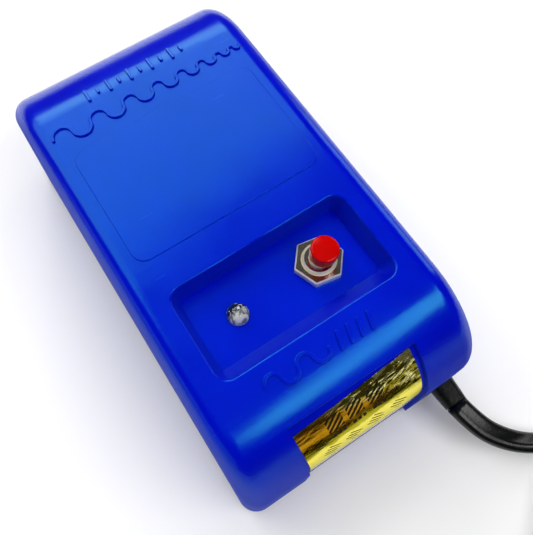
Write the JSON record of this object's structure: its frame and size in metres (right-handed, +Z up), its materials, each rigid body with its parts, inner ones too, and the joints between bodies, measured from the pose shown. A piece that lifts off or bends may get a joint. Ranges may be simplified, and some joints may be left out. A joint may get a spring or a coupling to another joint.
{
  "type": "hand-held mains demagnetizer",
  "caption": "Hand-held mains demagnetizer for watch tools: moulded case with flat working panel, sunk push button and indicator lamp, open-core coil inside, flat mains lead with plug.",
  "frame": {"origin": "on the surface the feet stand on, under the middle of the case", "axes": "+Z up, +X to the right of the case, -Y towards the front end with the label and the lead, +Y towards the rear end"},
  "size_m": [0.1192, 0.2247, 0.0478],
  "materials": {
    "case_plastic": "glossy moulded plastic, blue",
    "cover_plastic": "fine textured moulded plastic, dark",
    "plated_steel": "zinc plated",
    "foot_rubber": "moulded rubber, satin",
    "label_foil": "glossy gold foil with plain dark bars",
    "lamp_epoxy": "clear moulded epoxy",
    "lamp_metal": "silver plated",
    "resistor_body": "lacquered",
    "diode_body": "moulded epoxy",
    "nickel": "nickel plated brass",
    "switch_plastic": "moulded phenolic",
    "plunger_plastic": "moulded nylon",
    "contact_metal": "silver plated brass",
    "spring_steel": "bright wire",
    "cap_plastic": "glossy moulded plastic, red",
    "core_steel": "bare silicon steel sheet",
    "bobbin_nylon": "moulded nylon",
    "enamelled_wire": "enamelled copper",
    "tape": "polyester tape",
    "joint_nylon": "moulded nylon",
    "wire_brown": "insulated wire",
    "wire_blue": "insulated wire",
    "wire_grey": "insulated wire",
    "wire_yellow": "insulated wire",
    "lead_pvc": "flexible PVC jacket, black",
    "sleeve_pvc": "flexible PVC",
    "tie_pvc": "soft PVC strip",
    "blade_brass": "bright brass"
  },
  "bodies": {
    "housing": {"top_shell": "case_plastic", "base_cover": "cover_plastic", "base_screws": "plated_steel", "rubber_feet": "foot_rubber", "foil_label": "label_foil", "led_lens": "lamp_epoxy", "led_leadframe": "lamp_metal", "led_resistor": "resistor_body", "led_diode": "diode_body", "switch_bushing": "nickel", "switch_nut": "nickel", "switch_lock_washer": "nickel", "switch_body": "switch_plastic", "switch_spring": "spring_steel", "switch_terminals": "contact_metal", "core_laminations": "core_steel", "coil_bobbin": "bobbin_nylon", "coil_winding": "enamelled_wire", "winding_tape": "tape", "core_bracket": "plated_steel", "core_screws": "plated_steel", "wire_connectors": "joint_nylon", "live_wire": "wire_brown", "neutral_wire": "wire_blue", "switched_wire": "wire_brown", "coil_lead_wires": "wire_grey", "led_wires": "wire_yellow", "cable_tail": "lead_pvc", "cord_strain_relief": "sleeve_pvc", "power_cord": "lead_pvc", "cord_coil": "lead_pvc", "cord_tail": "lead_pvc", "cord_tie": "tie_pvc", "plug_body": "lead_pvc", "plug_blades": "blade_brass"},
    "button": {"button_cap": "cap_plastic", "switch_plunger": "plunger_plastic", "switch_contact_bridge": "contact_metal"}
  },
  "joints": [
    {"name": "button_press", "type": "slide", "parent": "housing", "child": "button", "axis": [0, 0, -1], "range_m": [0, 0.0015], "stiffness_N_per_m": 800, "springref_m": -0.0006, "deforming": ["switch_spring"]}
  ]
}
